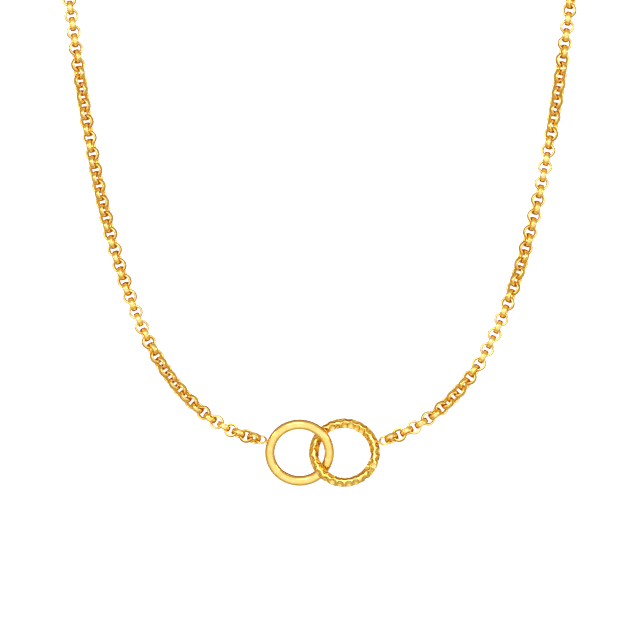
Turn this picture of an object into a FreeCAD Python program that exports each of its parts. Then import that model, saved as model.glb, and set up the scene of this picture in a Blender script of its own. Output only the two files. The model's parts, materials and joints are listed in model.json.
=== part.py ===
"""Chain necklace: two interlinked rings between two strands of round belcher chain.

The necklace lies flat and open on a surface, with its clasp undone.
Frame: +Z up from the surface, +Y from the rings towards the clasp, +X towards the textured ring.
All lengths are in millimetres, all angles in degrees.
"""
import FreeCAD, Part
import math
import os

# ---- chain link, a round ring bent from a band with rounded edges
LINK_OUTER_DIAMETER = 3.15
LINK_THICKNESS = 0.53
LINK_WIDTH = 1.19
LEFT_LINK_PLAY = 0.18
RIGHT_LINK_PLAY = 0.15
LINKS_PER_SEGMENT = 5
SEGMENTS_PER_STRAND = 22

# ---- the two pendant rings
PLAIN_RING_DIAMETER = 15.1
PLAIN_RING_SECTION = 2.05
PLAIN_RING_EDGE_RADIUS = 0.62
TEXTURED_RING_DIAMETER = 15.6
TEXTURED_RING_SECTION = 2.2
LIMB_GAP = 1.25
RING_CLEARANCE = 0.4
PENDANT_DROP = 2.7
PENDANT_SHIFT = 0.45
LEAN_STEPS = 12

# ---- eyes soldered to the rings, each holding the first link of a strand
EYE_OUTER_DIAMETER = 2.6
EYE_WIRE = 0.46
EYE_FOOT_DIAMETER = 0.7
EYE_FOOT_LENGTH = 0.12
PLAIN_EYE_ANGLE = 160.0
TEXTURED_EYE_ANGLE = 17.5

# ---- the line that each strand lies along, as distances out from the middle and up the surface
STRAND_ROUTE = [(21.0, 3.0), (28.6, 8.8), (35.4, 17.6), (41.5, 30.8), (47.9, 52.8), (52.0, 74.8),
                (55.1, 96.8), (60.6, 135.0), (67.5, 185.0), (70.0, 205.0)]
# twist of the chain about that line: distance from the eye, angle
LEFT_TWIST = [(0, 42), (9, 3), (14, -19), (18, -32), (29, -50), (34, -70), (38, -86), (45, -98),
              (49, -109), (56, -104), (66, -125), (74, -120), (81, -106), (88, -128), (93, -137),
              (101, -167), (108, -176), (112, -190), (135, -222), (160, -222), (190, -180), (205, -180)]
RIGHT_TWIST = [(0, -36), (7, -6), (17, 38), (19, 44), (29, 87), (34, 90), (38, 88), (49, 45), (51, 36),
               (58, 16), (62, 12), (65, 16), (69, 4), (77, -12), (84, -41), (92, -45), (99, -75),
               (104, -89), (112, -124), (135, -135), (160, -135), (190, -90), (205, -90)]

# ---- rings at the open ends
CLASP_RING_WIRE = 0.6
END_RING_OUTER_DIAMETER = 5.0
END_RING_WIRE = 0.8

# ---- lobster clasp, along its own length from the middle of its tail hole
TAIL_HOLE_RADIUS = 0.75
TAIL_WALL = 0.6
TAIL_THICKNESS = 1.1
CLASP_LENGTH = 11.0
CLASP_THICKNESS = 2.8
NOSE_RADIUS = 2.9
HEEL_RADIUS = 1.9
HEEL_DISTANCE = 2.6
HOOK_WALL = 1.15
MOUTH_HEEL_RADIUS = 0.75
MOUTH_START = 4.9
CLASP_EDGE_RADIUS = 0.35
LEVER_THICKNESS = 0.8
LEVER_HEEL_RADIUS = 0.95
LEVER_TIP_RADIUS = 0.5
LEVER_OPENING = 24.0
TIP_ANGLE = 68.0
THUMB_RADIUS = 0.55
THUMB_TOP_RADIUS = 0.4
THUMB_DISTANCE = 2.6
PIN_RADIUS = 0.35
PIN_CLEARANCE = 0.04
SPRING_WIRE = 0.22
SPRING_LEG = 1.5
SLOT_CLEARANCE = 0.08
LEVER_CLEARANCE = 0.12
SWEEP_STEPS = 4

# ---- how the strands come down from the eyes to the surface
SETTLE_LENGTH = 20.0
PLAN_STEP = 2.0

UP = FreeCAD.Vector(0, 0, 1)


def vector(x, y=0.0, z=0.0):
    return FreeCAD.Vector(x, y, z)


def polar(radius, angle):
    a = math.radians(angle)
    return vector(radius * math.cos(a), radius * math.sin(a))


# ---- frames: a place, the direction along the chain, and the twist about it

def frame(place, along, twist):
    """Placement whose X runs along the chain, with a ring's plane in XY and its axis on Z."""
    along = FreeCAD.Vector(along).normalize()
    side = UP.cross(along).normalize()
    rise = along.cross(side)
    a = math.radians(twist)
    across = side * math.cos(a) + rise * math.sin(a)
    axis = along.cross(across)
    rotation = FreeCAD.Rotation(along, across, axis, "ZXY")
    return FreeCAD.Placement(place, rotation)


def placed(shape, placement):
    copy = shape.copy()
    copy.Placement = placement
    return copy


# ---- rings and links

def one_solid(shape):
    """The single solid of a shape built from several."""
    (solid,) = shape.Solids
    return solid


def revolved(section):
    return Part.Face(section).revolve(vector(0, 0, 0), UP, 360)


def closed_wire(curves):
    return Part.Wire([curve.toShape() for curve in curves])


def rounded_section(middle, thickness, width, radius):
    """Section of a ring's band: a rectangle with rounded corners, in the XZ plane."""
    inner, outer = middle - thickness / 2, middle + thickness / 2
    low, high = -width / 2, width / 2
    corner = radius * (1 - math.sqrt(0.5))
    flat = thickness / 2 - radius
    curves = []

    def line(x0, z0, x1, z1):
        if math.hypot(x1 - x0, z1 - z0) > 1e-6:
            curves.append(Part.LineSegment(vector(x0, 0, z0), vector(x1, 0, z1)))

    def arc(x0, z0, xm, zm, x1, z1):
        curves.append(Part.Arc(vector(x0, 0, z0), vector(xm, 0, zm), vector(x1, 0, z1)))

    line(inner, low + radius, inner, high - radius)
    arc(inner, high - radius, inner + corner, high - corner, middle - flat, high)
    line(middle - flat, high, middle + flat, high)
    arc(middle + flat, high, outer - corner, high - corner, outer, high - radius)
    line(outer, high - radius, outer, low + radius)
    arc(outer, low + radius, outer - corner, low + corner, middle + flat, low)
    line(middle + flat, low, middle - flat, low)
    arc(middle - flat, low, inner + corner, low + corner, inner, low + radius)
    return closed_wire(curves)


def band_ring(diameter, thickness, width, radius):
    return revolved(rounded_section((diameter - thickness) / 2, thickness, width, radius))


def wire_ring(diameter, wire):
    return Part.makeTorus((diameter - wire) / 2, wire / 2)


def chain_link():
    return band_ring(LINK_OUTER_DIAMETER, LINK_THICKNESS, LINK_WIDTH, LINK_THICKNESS / 2)


def chain_height():
    """Height of the chain's middle line: no link reaches the surface at any twist."""
    middle = (LINK_OUTER_DIAMETER - LINK_THICKNESS) / 2
    straight = (LINK_WIDTH - LINK_THICKNESS) / 2
    return math.hypot(middle, straight) + LINK_THICKNESS / 2


# ---- how far apart the middles of linked rings lie

def hole_radius(diameter, wire):
    return diameter / 2 - wire


def hole_reach(hole, straight):
    """How far out from its middle a round hole takes an edge that is straight over this width."""
    return math.sqrt(hole ** 2 - (straight / 2) ** 2)


def linked_pitch(hole, play):
    """Distance from a link to the ring with this hole that it is linked with, short of taut by the play."""
    straight = LINK_WIDTH - LINK_THICKNESS
    link_hole = hole_radius(LINK_OUTER_DIAMETER, LINK_THICKNESS)
    return hole_reach(link_hole, straight) + hole_reach(hole, straight) - play


def link_pitch(play):
    return linked_pitch(hole_radius(LINK_OUTER_DIAMETER, LINK_THICKNESS), play)


def eye_pitch(play):
    return linked_pitch(hole_radius(EYE_OUTER_DIAMETER, EYE_WIRE), play)


def clasp_ring_pitch():
    return linked_pitch(hole_radius(LINK_OUTER_DIAMETER, CLASP_RING_WIRE), LEFT_LINK_PLAY)


def end_ring_pitch():
    return linked_pitch(hole_radius(END_RING_OUTER_DIAMETER, END_RING_WIRE), RIGHT_LINK_PLAY)


def tail_pitch():
    ring_hole = hole_radius(LINK_OUTER_DIAMETER, CLASP_RING_WIRE)
    return hole_reach(ring_hole, TAIL_THICKNESS) + TAIL_HOLE_RADIUS - LEFT_LINK_PLAY


def eye_standoff():
    return EYE_OUTER_DIAMETER / 2 + EYE_FOOT_LENGTH


# ---- the pendant

def middle_radius(diameter, section):
    return (diameter - section) / 2


def ring_spacing():
    """Distance between the rings' middles that leaves LIMB_GAP between their crossed limbs."""
    plain_hole = PLAIN_RING_DIAMETER / 2 - PLAIN_RING_SECTION
    textured_hole = TEXTURED_RING_DIAMETER / 2 - TEXTURED_RING_SECTION
    return plain_hole + textured_hole - LIMB_GAP


def crossing_reach():
    """How far from the line between the rings' middles their middle circles cross, in plan."""
    plain = middle_radius(PLAIN_RING_DIAMETER, PLAIN_RING_SECTION)
    textured = middle_radius(TEXTURED_RING_DIAMETER, TEXTURED_RING_SECTION)
    spacing = ring_spacing()
    along = (spacing ** 2 + plain ** 2 - textured ** 2) / (2 * spacing)
    return math.sqrt(plain ** 2 - along ** 2)


def ring_height(diameter, section, edge_radius, lean):
    """Height of the middle of a ring that leans this far, in radians, and touches the surface."""
    below_middle = (section / 2 - edge_radius) * (math.sin(lean) + math.cos(lean)) + edge_radius
    return middle_radius(diameter, section) * math.sin(lean) + below_middle


def plain_ring_height(lean):
    return ring_height(PLAIN_RING_DIAMETER, PLAIN_RING_SECTION, PLAIN_RING_EDGE_RADIUS, lean)


def textured_ring_height(lean):
    return ring_height(TEXTURED_RING_DIAMETER, TEXTURED_RING_SECTION, TEXTURED_RING_SECTION / 2, lean)


def ring_lean():
    """Lean of each ring, in radians, at which both crossings pass with RING_CLEARANCE."""
    apart = (PLAIN_RING_SECTION + TEXTURED_RING_SECTION) / 2 + RING_CLEARANCE
    lean = 0.0
    for _ in range(LEAN_STEPS):
        uneven = abs(plain_ring_height(lean) - textured_ring_height(lean))
        lean = math.asin((apart + uneven) / (2 * crossing_reach()))
    return lean


def leaning_ring(x, height, lean):
    """Placement of a ring that leans about the X direction."""
    rotation = FreeCAD.Rotation(vector(1, 0, 0), math.degrees(lean))
    return FreeCAD.Placement(vector(x, -PENDANT_DROP, height), rotation)


def plain_ring_place():
    lean = ring_lean()
    return leaning_ring(PENDANT_SHIFT - ring_spacing() / 2, plain_ring_height(lean), lean)


def textured_ring_place():
    lean = ring_lean()
    return leaning_ring(PENDANT_SHIFT + ring_spacing() / 2, textured_ring_height(lean), -lean)


def plain_ring():
    ring = band_ring(PLAIN_RING_DIAMETER, PLAIN_RING_SECTION, PLAIN_RING_SECTION, PLAIN_RING_EDGE_RADIUS)
    return placed(ring, plain_ring_place())


def textured_ring():
    return placed(wire_ring(TEXTURED_RING_DIAMETER, TEXTURED_RING_SECTION), textured_ring_place())


# ---- strands

def smooth_line(points):
    curve = Part.BSplineCurve()
    curve.interpolate(points)
    return curve.toShape()


class Strand:
    """One side of the necklace: its line, its twist, and the places of its links."""

    def __init__(self, side, ring_place, ring_diameter, eye_angle, twist, play):
        self.ring_middle = ring_place.Base
        reach = polar(ring_diameter / 2 + eye_standoff(), eye_angle)
        start = ring_place.multVec(reach)
        plan = smooth_line([vector(start.x, start.y)] + [vector(side * x, y) for x, y in STRAND_ROUTE])
        steps = int(plan.Length / PLAN_STEP)
        self.line = smooth_line([self.settled(plan, i * PLAN_STEP, start.z) for i in range(steps)])
        self.twist = twist
        self.play = play

    def settled(self, plan, distance, start_height):
        """Point of the strand's line over its plan: it comes down from the eye in a gentle S."""
        point = plan.valueAt(plan.getParameterByLength(distance))
        t = min(1.0, distance / SETTLE_LENGTH)
        down = t * t * (3 - 2 * t)
        return point + UP * (start_height + (chain_height() - start_height) * down)

    def twist_at(self, distance):
        stations = self.twist
        for (d0, a0), (d1, a1) in zip(stations, stations[1:]):
            if distance <= d1:
                t = max(0.0, (distance - d0) / (d1 - d0))
                return a0 + (a1 - a0) * t
        return stations[-1][1]

    def parameter(self, distance):
        return self.line.getParameterByLength(min(distance, self.line.Length))

    def along(self, distance):
        return self.line.tangentAt(self.parameter(distance))

    def point(self, distance):
        """Point of the line, which runs on straight past its end."""
        beyond = max(0.0, distance - self.line.Length)
        return self.line.valueAt(self.parameter(distance)) + self.along(distance) * beyond

    def link_distance(self, number):
        return eye_pitch(self.play) + number * link_pitch(self.play)

    def link_place(self, number):
        """Frame of a link; every second link is turned a quarter turn."""
        distance = self.link_distance(number)
        quarter = 90.0 * ((number + 1) % 2)
        return frame(self.point(distance), self.along(distance), self.twist_at(distance) + quarter)

    def eye_place(self):
        return frame(self.point(0), self.along(0), self.twist_at(0))

    def last_number(self):
        return LINKS_PER_SEGMENT * SEGMENTS_PER_STRAND - 1


def left_strand():
    return Strand(-1, plain_ring_place(), PLAIN_RING_DIAMETER, PLAIN_EYE_ANGLE, LEFT_TWIST, LEFT_LINK_PLAY)


def right_strand():
    return Strand(1, textured_ring_place(), TEXTURED_RING_DIAMETER, TEXTURED_EYE_ANGLE, RIGHT_TWIST,
                  RIGHT_LINK_PLAY)


def segment(strand, number, link):
    first = number * LINKS_PER_SEGMENT
    return [placed(link, strand.link_place(first + i)) for i in range(LINKS_PER_SEGMENT)]


def eye(strand, ring):
    """Small wire eye with a foot, both cut to the surface of the ring that it is soldered to."""
    place = strand.eye_place()
    loop = placed(wire_ring(EYE_OUTER_DIAMETER, EYE_WIRE), place)
    towards_ring = (strand.ring_middle - place.Base).normalize()
    inner_side = (EYE_OUTER_DIAMETER - EYE_WIRE) / 2
    foot_start = place.Base + towards_ring * inner_side
    foot = Part.makeCylinder(EYE_FOOT_DIAMETER / 2, eye_standoff(), foot_start, towards_ring)
    return one_solid(loop.fuse(foot).cut(ring))


# ---- the open ends

def clasp_ring_place():
    strand = left_strand()
    last = strand.link_place(strand.last_number())
    distance = strand.link_distance(strand.last_number())
    along = strand.along(distance)
    return frame(last.Base + along * clasp_ring_pitch(), along, strand.twist_at(distance) + 90.0)


def clasp_ring():
    return placed(wire_ring(LINK_OUTER_DIAMETER, CLASP_RING_WIRE), clasp_ring_place())


def clasp_place():
    ring = clasp_ring_place()
    along = ring.Rotation.multVec(vector(1, 0, 0))
    return frame(ring.Base + along * tail_pitch(), along, 0.0)


def end_ring_place():
    """The end ring droops from the last link until its far side lies on the surface."""
    strand = right_strand()
    last = strand.link_place(strand.last_number())
    along = strand.along(strand.link_distance(strand.last_number()))
    reach = end_ring_pitch() + (END_RING_OUTER_DIAMETER - END_RING_WIRE) / 2
    droop = math.asin((chain_height() - END_RING_WIRE / 2) / reach)
    down = along * math.cos(droop) - UP * math.sin(droop)
    return frame(last.Base + down * end_ring_pitch(), down, 0.0)


def end_ring():
    return placed(wire_ring(END_RING_OUTER_DIAMETER, END_RING_WIRE), end_ring_place())


# ---- lobster clasp, in its own frame: X towards the nose, Y towards the lever

def slab(outline, thickness):
    face = Part.Face(outline)
    face.translate(vector(0, 0, -thickness / 2))
    return face.extrude(vector(0, 0, thickness))


def bar(start, start_radius, end, end_radius, thickness):
    """Flat bar round two circles, joined by the lines that touch both."""
    run = end - start
    heading = math.degrees(math.atan2(run.y, run.x))
    turn = math.degrees(math.acos((start_radius - end_radius) / run.Length))
    a0 = start + polar(start_radius, heading + turn)
    a1 = start + polar(start_radius, heading + 180)
    a2 = start + polar(start_radius, heading - turn)
    b0 = end + polar(end_radius, heading - turn)
    b1 = end + polar(end_radius, heading)
    b2 = end + polar(end_radius, heading + turn)
    curves = [Part.Arc(a0, a1, a2), Part.LineSegment(a2, b0), Part.Arc(b0, b1, b2), Part.LineSegment(b2, a0)]
    return slab(closed_wire(curves), thickness)


def disc(centre, radius, thickness):
    return Part.makeCylinder(radius, thickness, centre - UP * (thickness / 2))


def tail_outer():
    return TAIL_HOLE_RADIUS + TAIL_WALL


def nose_centre():
    return vector(CLASP_LENGTH - tail_outer() - NOSE_RADIUS)


def pin_centre():
    return vector(HEEL_DISTANCE, HEEL_RADIUS - LEVER_HEEL_RADIUS)


def tip_centre():
    """End of the lever, in the middle of the hook's wall."""
    return nose_centre() + polar(NOSE_RADIUS - HOOK_WALL / 2, TIP_ANGLE)


def lever_bar(grow, thickness, opening=0.0):
    heel, tip = LEVER_HEEL_RADIUS + grow, LEVER_TIP_RADIUS + grow
    shape = bar(pin_centre(), heel, tip_centre(), tip, thickness)
    shape.rotate(pin_centre(), UP, -opening)
    return shape


def slot_thickness():
    return LEVER_THICKNESS + 2 * SPRING_WIRE + 3 * SLOT_CLEARANCE


def lever_layer():
    """Height of the lever's middle: it runs against the slot's lower wall, under the spring."""
    return -slot_thickness() / 2 + SLOT_CLEARANCE + LEVER_THICKNESS / 2


def lever_heading():
    run = tip_centre() - pin_centre()
    return math.degrees(math.atan2(run.y, run.x))


def thumb(grow, thickness, opening=0.0):
    """Short tab on the lever's outer side for the thumbnail."""
    root = pin_centre() + polar(THUMB_DISTANCE, lever_heading())
    top = root + polar(LEVER_HEEL_RADIUS + THUMB_RADIUS, lever_heading() + 90)
    shape = bar(root, THUMB_RADIUS + grow, top, THUMB_TOP_RADIUS + grow, thickness)
    shape.rotate(pin_centre(), UP, -opening)
    return shape


def clasp_body():
    heel = vector(HEEL_DISTANCE)
    body = bar(heel, HEEL_RADIUS, nose_centre(), NOSE_RADIUS, CLASP_THICKNESS)
    body = body.makeFillet(CLASP_EDGE_RADIUS, body.Edges)
    through = 2 * CLASP_THICKNESS
    mouth_start = vector(MOUTH_START)
    body = body.cut(bar(mouth_start, MOUTH_HEEL_RADIUS, nose_centre(), NOSE_RADIUS - HOOK_WALL, through))
    outward = polar(1, lever_heading() + 90)
    for step in range(SWEEP_STEPS + 1):
        shift = outward * (HEEL_RADIUS * step / SWEEP_STEPS)
        start = mouth_start + vector(0, MOUTH_HEEL_RADIUS) + shift
        body = body.cut(bar(start, LEVER_HEEL_RADIUS + LEVER_CLEARANCE,
                            tip_centre() + shift, LEVER_TIP_RADIUS + LEVER_CLEARANCE, through))
    for step in range(SWEEP_STEPS + 1):
        opening = LEVER_OPENING * step / SWEEP_STEPS
        body = body.cut(lever_bar(LEVER_CLEARANCE, slot_thickness(), opening))
        body = body.cut(thumb(LEVER_CLEARANCE, slot_thickness(), opening))
    neck_end = vector(HEEL_DISTANCE - HEEL_RADIUS / 2)
    tail = bar(vector(0, 0), tail_outer(), neck_end, tail_outer(), TAIL_THICKNESS)
    slot = lever_bar(LEVER_CLEARANCE, slot_thickness())
    body = body.fuse(tail.cut(slot))
    body = body.cut(disc(vector(0, 0), TAIL_HOLE_RADIUS, through))
    return one_solid(body.cut(disc(pin_centre(), PIN_RADIUS, through)))


def clasp_lever():
    lever = lever_bar(0, LEVER_THICKNESS).fuse(thumb(0, LEVER_THICKNESS)).removeSplitter()
    lever = lever.cut(disc(pin_centre(), PIN_RADIUS + PIN_CLEARANCE, 2 * CLASP_THICKNESS))
    lever.translate(UP * lever_layer())
    return one_solid(lever)


def clasp_pin():
    return disc(pin_centre(), PIN_RADIUS, CLASP_THICKNESS)


def clasp_spring():
    """Two turns of fine wire round the pin above the lever, and a leg that lies along the lever."""
    base = lever_layer() + LEVER_THICKNESS / 2 + SLOT_CLEARANCE
    coil_radius = PIN_RADIUS + PIN_CLEARANCE + SPRING_WIRE
    coil = Part.makeCylinder(coil_radius, 2 * SPRING_WIRE, pin_centre() + UP * base)
    coil = coil.cut(disc(pin_centre(), PIN_RADIUS + PIN_CLEARANCE, 2 * CLASP_THICKNESS))
    foot = pin_centre() + UP * (base + SPRING_WIRE / 2)
    foot = foot + polar(PIN_RADIUS + PIN_CLEARANCE + SPRING_WIRE / 2, lever_heading() + 90)
    leg = Part.makeCylinder(SPRING_WIRE / 2, SPRING_LEG, foot, polar(1, lever_heading()))
    return one_solid(coil.fuse(leg))


def in_clasp(shape):
    return placed(shape, clasp_place().multiply(shape.Placement))


# ---- the whole necklace

def nodes():
    """Every node by name, as a list of solids."""
    link = chain_link()
    left, right = left_strand(), right_strand()
    plain, textured = plain_ring(), textured_ring()
    parts = {
        "plain_ring": [plain],
        "textured_ring": [textured],
        "left_eye": [eye(left, plain)],
        "right_eye": [eye(right, textured)],
    }
    for number in range(SEGMENTS_PER_STRAND):
        parts[f"left_chain_{number + 1:02d}"] = segment(left, number, link)
        parts[f"right_chain_{number + 1:02d}"] = segment(right, number, link)
    parts["clasp_jump_ring"] = [clasp_ring()]
    parts["clasp_body"] = [in_clasp(clasp_body())]
    parts["clasp_lever"] = [in_clasp(clasp_lever())]
    parts["clasp_pin"] = [in_clasp(clasp_pin())]
    parts["clasp_spring"] = [in_clasp(clasp_spring())]
    parts["end_ring"] = [end_ring()]
    return parts


def write_parts():
    os.makedirs("parts", exist_ok=True)
    for name, solids in nodes().items():
        whole = solids[0] if len(solids) == 1 else Part.makeCompound(solids)
        whole.exportStep(os.path.join("parts", name + ".step"))


write_parts()
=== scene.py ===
"""Looks of a chain necklace: a plain and a scooped ring, linked, between two strands of belcher chain.

The necklace lies flat on a white studio floor and is seen from straight above.
Sizes are written in millimetres and multiplied by MM; every place comes from the frame.
"""
import bpy
import json
import math
import numpy as np
from mathutils import Matrix, Vector


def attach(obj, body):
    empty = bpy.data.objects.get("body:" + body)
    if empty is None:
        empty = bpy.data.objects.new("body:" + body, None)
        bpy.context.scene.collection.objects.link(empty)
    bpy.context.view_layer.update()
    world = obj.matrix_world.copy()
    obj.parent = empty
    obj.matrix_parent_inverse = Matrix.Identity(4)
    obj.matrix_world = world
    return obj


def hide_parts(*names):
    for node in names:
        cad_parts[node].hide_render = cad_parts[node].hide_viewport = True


MM = 0.001
SAME_POINT = 0.001 * MM  # points of the frame this close are one
UP = Vector((0, 0, 1))

# ---- chain link: a band with softly domed faces
LINK_OUTER = 3.15 * MM
LINK_THICKNESS = 0.53 * MM
LINK_WIDTH = 1.19 * MM
LINK_SQUARENESS = 2.8
LINK_STEPS = 56
LINK_SECTION_STEPS = 18

# ---- pendant rings
PLAIN_OUTER = 15.1 * MM
PLAIN_SECTION = 2.05 * MM
PLAIN_SQUARENESS = 2.9
PLAIN_STEPS = 288
PLAIN_SECTION_STEPS = 64
TEXTURED_OUTER = 15.6 * MM
TEXTURED_SECTION = 2.2 * MM
TEXTURED_STEPS = 720
TEXTURED_SECTION_STEPS = 112
SCOOP_ROWS = 4
SCOOPS_ROUND = 26
SCOOP_DEPTH = 0.42 * MM
SCOOP_RADIUS = 0.84 * MM
SCOOP_ROUNDNESS = 0.7
SCOOP_JITTER = 0.1
SEED = 7

# ---- small rings and eyes
EYE_OUTER = 2.6 * MM
EYE_WIRE = 0.46 * MM
EYE_STEPS = 72
EYE_SECTION_STEPS = 20
# the eye's solder foot is waisted at the loop and widens on to the ring
FOOT_RADIUS = 0.36 * MM
FOOT_LENGTH = 0.6 * MM
FOOT_WAIST = 0.72
FOOT_FLARE = 0.6
FOOT_STEPS = 24
FOOT_RINGS = 9
CLASP_RING_WIRE = 0.6 * MM
END_RING_OUTER = 5.0 * MM
END_RING_WIRE = 0.8 * MM
SMALL_RING_STEPS = 96
SMALL_RING_SECTION_STEPS = 24
ROUND = 2  # squareness of a round wire

# ---- metals, as linear colours: where each is deepest, where it is palest, and where light grazes it
GOLD = ((0.88, 0.56, 0.10), (0.95, 0.67, 0.17), (0.95, 0.50, 0.10))
STEEL = ((0.42, 0.42, 0.43), (0.60, 0.60, 0.61), (1, 1, 1))
# grain of a metal's colour, gloss and polishing marks, in noise cells to the metre; where on the noise the
# deepest and palest colours stand; and the gloss noise's reach, as shares of the metal's roughness
COLOUR_GRAIN = 900.0
COLOUR_STOPS = (0.35, 0.65)
GLOSS_GRAIN = 2600.0
GLOSS_SPREAD = (0.75, 1.3)
MARK_GRAIN = 1400.0
MARK_HEIGHT = 0.02 * MM

# ---- picture and studio
PICTURE_WIDTH = 140.8 * MM
PICTURE_MIDDLE = 26.4 * MM
CAMERA_HEIGHT = 1.1
CAMERA_NEAREST = 0.01
CAMERA_FARTHEST = 10.0
FLOOR_SIZE = 6.0
FLOOR_GREY = 0.9
FLOOR_ROUGHNESS = 0.9
FLOOR_GLOW = 0.75
# name, place, width and power of each soft light
LIGHTS = [("overhead", (-0.15, 0.35, 0.9), 0.5, 2.4),
          ("left", (-0.9, 0.2, 0.6), 0.3, 1.2),
          ("right", (0.9, 0.1, 0.6), 0.3, 1.2)]
# colour of the surroundings, by the height of the direction from straight down (-1) to straight up (1)
SKY = [(-1.0, (0.42, 0.22, 0.06)), (-0.8, (0.30, 0.17, 0.06)), (-0.5, (0.62, 0.50, 0.32)),
       (-0.12, (0.90, 0.80, 0.60)), (0.0, (0.05, 0.03, 0.01)), (0.1, (0.55, 0.47, 0.34)),
       (0.4, (1.00, 0.94, 0.82)), (0.5, (0.34, 0.25, 0.15)), (0.58, (1.00, 1.00, 1.05)),
       (0.85, (1.18, 1.36, 2.10)), (1.0, (1.18, 1.36, 2.10))]


# ---- meshes

def new_object(name, points, faces, material):
    mesh = bpy.data.meshes.new(name)
    mesh.from_pydata(points.tolist(), [], faces.tolist())
    mesh.materials.append(material)
    mesh.polygons.foreach_set("use_smooth", [True] * len(mesh.polygons))
    obj = bpy.data.objects.new(name, mesh)
    bpy.context.scene.collection.objects.link(obj)
    return obj


def full_turn(steps):
    """Angles of equal steps round a circle."""
    return np.linspace(0, 2 * math.pi, steps, endpoint=False)


def grid_faces(rings, steps):
    """Quads of a grid that closes on itself both ways."""
    i, j = np.meshgrid(np.arange(rings), np.arange(steps), indexing="ij")
    a = i * steps + j
    b = i * steps + (j + 1) % steps
    c = (i + 1) % rings * steps + (j + 1) % steps
    d = (i + 1) % rings * steps + j
    return np.stack([a, d, c, b], axis=-1).reshape(-1, 4)


def squared_section(thickness, width, squareness, steps):
    """Closed section between an ellipse (squareness 2) and a rectangle: points out from the middle and up."""
    t = full_turn(steps)
    power = 2 / squareness
    out = np.sign(np.cos(t)) * np.abs(np.cos(t)) ** power * thickness / 2
    up = np.sign(np.sin(t)) * np.abs(np.sin(t)) ** power * width / 2
    return out, up


def ring_points(place, middle, out, up):
    """Points of a ring: one row of section points for each step round the ring's axis."""
    u = full_turn(len(out))[:, None]
    reach = middle + out
    local = np.stack([reach * np.cos(u), reach * np.sin(u), up], axis=-1).reshape(-1, 3)
    rotation, centre = np.array(place.to_3x3()), np.array(place.translation)
    return local @ rotation.T + centre


def plain_rings(places, outer, thickness, width, squareness, steps, section_steps):
    """Points and faces of equal rings of one section, one at each place."""
    out, up = squared_section(thickness, width, squareness, section_steps)
    out, up = np.tile(out, (steps, 1)), np.tile(up, (steps, 1))
    middle = (outer - thickness) / 2
    points = [ring_points(place, middle, out, up) for place in places]
    faces = [grid_faces(steps, section_steps) + i * steps * section_steps for i in range(len(places))]
    return np.concatenate(points), np.concatenate(faces)


# ---- where the rings and links of the frame lie

def islands(obj):
    """The separate closed shells of a mesh, as arrays of points."""
    mesh = obj.data
    co = np.empty(len(mesh.vertices) * 3)
    mesh.vertices.foreach_get("co", co)
    keys = np.round(co.reshape(-1, 3) / SAME_POINT).astype(np.int64)
    _, first, index = np.unique(keys, axis=0, return_index=True, return_inverse=True)
    index = index.reshape(-1)
    edges = np.empty(len(mesh.edges) * 2, dtype=np.int64)
    mesh.edges.foreach_get("vertices", edges)
    edges = index[edges].reshape(-1, 2)
    label = np.arange(len(first))
    while True:
        lowest = label.copy()
        np.minimum.at(lowest, edges[:, 0], label[edges[:, 1]])
        np.minimum.at(lowest, edges[:, 1], label[edges[:, 0]])
        lowest = lowest[lowest]
        if (lowest == label).all():
            break
        label = lowest
    points = co.reshape(-1, 3)[first]
    return [points[label == shell] for shell in np.unique(label)]


def placed(centre, axis):
    return Matrix.Translation(centre) @ UP.rotation_difference(axis).to_matrix().to_4x4()


def ring_place(points):
    """Middle and axis of a round ring, from the points of its surface."""
    centre = points.mean(axis=0)
    _, _, directions = np.linalg.svd(points - centre, full_matrices=False)
    axis = Vector(directions[2])
    return placed(centre, axis if axis.z >= 0 else -axis)


def node_places(frame, node):
    return [ring_place(points) for points in islands(frame["nodes"][node])]


# ---- pieces

def put(obj, node, body):
    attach(obj, body)
    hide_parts(node)


def chain(frame, gold):
    """Every link of both strands, five to a piece."""
    for node in sorted(frame["nodes"]):
        if "_chain_" in node:
            points, faces = plain_rings(node_places(frame, node), LINK_OUTER, LINK_THICKNESS, LINK_WIDTH,
                                        LINK_SQUARENESS, LINK_STEPS, LINK_SECTION_STEPS)
            put(new_object(node + "_links", points, faces, gold), node, node)


def plain_ring(frame, gold):
    places = node_places(frame, "plain_ring")
    points, faces = plain_rings(places, PLAIN_OUTER, PLAIN_SECTION, PLAIN_SECTION, PLAIN_SQUARENESS,
                                PLAIN_STEPS, PLAIN_SECTION_STEPS)
    put(new_object("plain_ring_polished", points, faces, gold), "plain_ring", "plain_ring")


def angle_to(angles, centre):
    """Signed angle from a centre, the short way round."""
    return (angles - centre + math.pi) % (2 * math.pi) - math.pi


def scoop_depths(middle, radius, u, v):
    """How far a scooped ring's surface is cut in at each grid point; rows of scoops are staggered."""
    nearest = np.full((u.size, v.size), np.inf)
    draw = np.random.default_rng(SEED)
    for row in range(SCOOP_ROWS):
        for column in range(SCOOPS_ROUND):
            du, dv = draw.normal(0, SCOOP_JITTER, 2)
            cu = 2 * math.pi * (column + row % 2 / 2 + du) / SCOOPS_ROUND
            cv = 2 * math.pi * (row + 0.5 + dv) / SCOOP_ROWS
            along = angle_to(u, cu) * (middle + radius * np.cos(v))
            across = angle_to(v, cv) * radius
            nearest = np.minimum(nearest, along ** 2 + across ** 2)
    return SCOOP_DEPTH * np.maximum(0, 1 - nearest / SCOOP_RADIUS ** 2) ** SCOOP_ROUNDNESS


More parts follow.
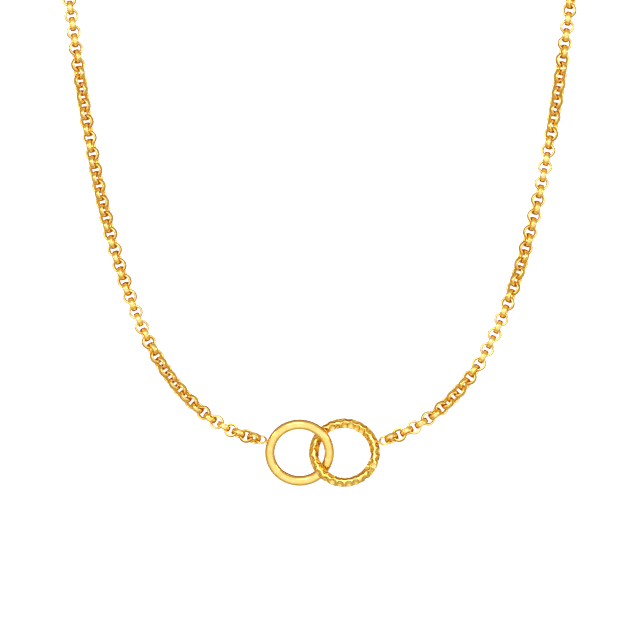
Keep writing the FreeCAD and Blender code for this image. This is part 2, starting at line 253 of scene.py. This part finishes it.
def textured_ring(frame, gold):
    radius = TEXTURED_SECTION / 2
    middle = TEXTURED_OUTER / 2 - radius
    (place,) = node_places(frame, "textured_ring")
    u = full_turn(TEXTURED_STEPS)[:, None]
    v = full_turn(TEXTURED_SECTION_STEPS)[None, :]
    surface = radius - scoop_depths(middle, radius, u, v)
    points = ring_points(place, middle, surface * np.cos(v), surface * np.sin(v))
    faces = grid_faces(TEXTURED_STEPS, TEXTURED_SECTION_STEPS)
    obj = new_object("textured_ring_scooped", points, faces, gold)
    put(obj, "textured_ring", "textured_ring")


def joint(frame, name):
    (found,) = [j for j in frame["joints"] if j["name"] == name]
    return Vector(found["pos_m"]), Vector(found["axis"])


def eye(frame, side, ring_node, gold):
    """Wire loop with a small solder foot that widens on to the ring."""
    centre, axis = joint(frame, side + "_joint_01")
    loop, loop_faces = plain_rings([placed(centre, axis)], EYE_OUTER, EYE_WIRE, EYE_WIRE, ROUND,
                                   EYE_STEPS, EYE_SECTION_STEPS)
    (ring,) = node_places(frame, ring_node)
    inwards = (ring.translation - centre).normalized()
    foot, foot_faces = solder_foot(centre + inwards * (EYE_OUTER - EYE_WIRE) / 2, inwards)
    points = np.concatenate([loop, foot])
    faces = np.concatenate([loop_faces, foot_faces + len(loop)])
    put(new_object(side + "_eye_wire", points, faces, gold), side + "_eye", ring_node)


def solder_foot(start, along):
    """Short flared peg of solder from the loop into the ring's surface; its two ends are open."""
    side = along.orthogonal().normalized()
    other = along.cross(side)
    points = []
    for i in range(FOOT_RINGS):
        t = i / (FOOT_RINGS - 1)
        radius = FOOT_RADIUS * (FOOT_WAIST + FOOT_FLARE * t * t)
        for k in range(FOOT_STEPS):
            a = 2 * math.pi * k / FOOT_STEPS
            outwards = side * math.cos(a) + other * math.sin(a)
            points.append(start + along * (FOOT_LENGTH * t) + outwards * radius)
    faces = grid_faces(FOOT_RINGS, FOOT_STEPS)[: (FOOT_RINGS - 1) * FOOT_STEPS]
    return np.array(points), faces


def small_rings(frame, gold):
    """The clasp's jump ring and the end ring."""
    for node, outer, wire in (("clasp_jump_ring", LINK_OUTER, CLASP_RING_WIRE),
                              ("end_ring", END_RING_OUTER, END_RING_WIRE)):
        points, faces = plain_rings(node_places(frame, node), outer, wire, wire, ROUND,
                                    SMALL_RING_STEPS, SMALL_RING_SECTION_STEPS)
        put(new_object(node + "_wire", points, faces, gold), node, node)


def clasp(frame, gold, steel):
    """The clasp's own solids are shown as they are."""
    for node in ("clasp_body", "clasp_lever", "clasp_pin"):
        set_material(frame["nodes"][node], gold)
    set_material(frame["nodes"]["clasp_spring"], steel)


def set_material(obj, material):
    for slot in obj.material_slots:
        slot.material = material


# ---- materials

def add(tree, kind, **values):
    node = tree.nodes.new(kind)
    for name, value in values.items():
        if hasattr(node, name):
            setattr(node, name, value)
        else:
            node.inputs[name.replace("_", " ").title()].default_value = value
    return node


def polished_metal(name, deep, pale, edge, roughness, unevenness):
    """Polished metal with slightly uneven colour and gloss, and fine polishing marks.

    The edge colour is the metal's tint where the light grazes it, and unevenness is the marks' strength.
    """
    material = bpy.data.materials.new(name)
    material.use_nodes = True
    tree = material.node_tree
    link = tree.links.new
    shader = tree.nodes["Principled BSDF"]
    shader.inputs["Metallic"].default_value = 1.0
    shader.inputs["Specular Tint"].default_value = (*edge, 1)
    place = add(tree, "ShaderNodeTexCoord").outputs["Object"]

    clouds = add(tree, "ShaderNodeTexNoise", scale=COLOUR_GRAIN, detail=3.0)
    link(place, clouds.inputs["Vector"])
    colour = add(tree, "ShaderNodeValToRGB")
    for stop, position, tone in zip(colour.color_ramp.elements, COLOUR_STOPS, (deep, pale)):
        stop.position = position
        stop.color = (*tone, 1)
    link(clouds.outputs["Fac"], colour.inputs["Fac"])
    link(colour.outputs["Color"], shader.inputs["Base Color"])

    gloss = add(tree, "ShaderNodeTexNoise", scale=GLOSS_GRAIN, detail=4.0)
    link(place, gloss.inputs["Vector"])
    rough = add(tree, "ShaderNodeMapRange")
    for limit, spread in zip(("To Min", "To Max"), GLOSS_SPREAD):
        rough.inputs[limit].default_value = roughness * spread
    link(gloss.outputs["Fac"], rough.inputs["Value"])
    link(rough.outputs["Result"], shader.inputs["Roughness"])

    waves = add(tree, "ShaderNodeTexNoise", scale=MARK_GRAIN, detail=2.0)
    link(place, waves.inputs["Vector"])
    bump = add(tree, "ShaderNodeBump", strength=unevenness, distance=MARK_HEIGHT)
    link(waves.outputs["Fac"], bump.inputs["Height"])
    link(bump.outputs["Normal"], shader.inputs["Normal"])
    return material


# ---- studio

def floor():
    half = FLOOR_SIZE / 2
    points = np.array([(-half, -half, 0), (half, -half, 0), (half, half, 0), (-half, half, 0)])
    material = bpy.data.materials.new("white_floor")
    material.use_nodes = True
    shader = material.node_tree.nodes["Principled BSDF"]
    shader.inputs["Base Color"].default_value = (FLOOR_GREY, FLOOR_GREY, FLOOR_GREY, 1)
    shader.inputs["Roughness"].default_value = FLOOR_ROUGHNESS
    shader.inputs["Emission Color"].default_value = (1, 1, 1, 1)
    shader.inputs["Emission Strength"].default_value = FLOOR_GLOW
    obj = new_object("studio_floor", points, np.array([[0, 1, 2, 3]]), material)
    obj.visible_glossy = False
    obj.visible_diffuse = False


def soft_light(name, place, size, power):
    data = bpy.data.lights.new(name, "AREA")
    data.shape = "DISK"
    data.size = size
    data.energy = power
    obj = bpy.data.objects.new(name, data)
    obj.location = place
    obj.rotation_euler = (-Vector(place)).to_track_quat("-Z", "Y").to_euler()
    obj.visible_camera = False
    bpy.context.scene.collection.objects.link(obj)


def ramp_position(height):
    """Where a height from -1 to 1 stands on a ramp from 0 to 1."""
    return height / 2 + 0.5


def sky():
    """Studio walls by height: cool and bright overhead, a dark line at the horizon, warm and dim below."""
    world = bpy.data.worlds.new("studio")
    bpy.context.scene.world = world
    world.use_nodes = True
    tree = world.node_tree
    link = tree.links.new
    place = add(tree, "ShaderNodeTexCoord").outputs["Generated"]
    split = add(tree, "ShaderNodeSeparateXYZ")
    link(place, split.inputs["Vector"])
    height = add(tree, "ShaderNodeMapRange")
    height.inputs["From Min"].default_value = -1.0
    link(split.outputs["Z"], height.inputs["Value"])
    ramp = add(tree, "ShaderNodeValToRGB")
    for level, _ in SKY[1:-1]:
        ramp.color_ramp.elements.new(ramp_position(level))
    for stop, (level, colour) in zip(ramp.color_ramp.elements, SKY):
        stop.position = ramp_position(level)
        stop.color = (*colour, 1)
    link(height.outputs["Result"], ramp.inputs["Fac"])
    background = tree.nodes["Background"]
    link(ramp.outputs["Color"], background.inputs["Color"])


def camera():
    data = bpy.data.cameras.new("camera")
    data.lens = data.sensor_width * CAMERA_HEIGHT / PICTURE_WIDTH
    data.clip_start, data.clip_end = CAMERA_NEAREST, CAMERA_FARTHEST
    obj = bpy.data.objects.new("camera", data)
    obj.location = (0, PICTURE_MIDDLE, CAMERA_HEIGHT)
    bpy.context.scene.collection.objects.link(obj)
    bpy.context.scene.camera = obj


def studio():
    floor()
    sky()
    for name, place, size, power in LIGHTS:
        soft_light(name, place, size, power)
    bpy.context.scene.view_settings.view_transform = "Standard"


# ---- the whole picture

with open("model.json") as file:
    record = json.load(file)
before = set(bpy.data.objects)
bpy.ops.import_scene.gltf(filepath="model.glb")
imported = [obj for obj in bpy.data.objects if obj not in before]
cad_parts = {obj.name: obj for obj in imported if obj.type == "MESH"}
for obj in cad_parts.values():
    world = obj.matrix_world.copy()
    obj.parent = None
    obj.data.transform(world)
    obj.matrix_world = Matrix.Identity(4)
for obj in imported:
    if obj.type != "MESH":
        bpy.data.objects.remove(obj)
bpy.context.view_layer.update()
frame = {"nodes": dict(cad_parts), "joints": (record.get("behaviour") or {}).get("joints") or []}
gold = polished_metal("polished_gold", *GOLD, roughness=0.10, unevenness=0.15)
ring_gold = polished_metal("mirror_gold", *GOLD, roughness=0.09, unevenness=0.05)
scooped_gold = polished_metal("scooped_gold", *GOLD, roughness=0.10, unevenness=0.03)
steel = polished_metal("spring_steel", *STEEL, roughness=0.3, unevenness=0.3)
chain(frame, gold)
plain_ring(frame, ring_gold)
textured_ring(frame, scooped_gold)
eye(frame, "left", "plain_ring", gold)
eye(frame, "right", "textured_ring", gold)
small_rings(frame, gold)
clasp(frame, gold, steel)
studio()
camera()
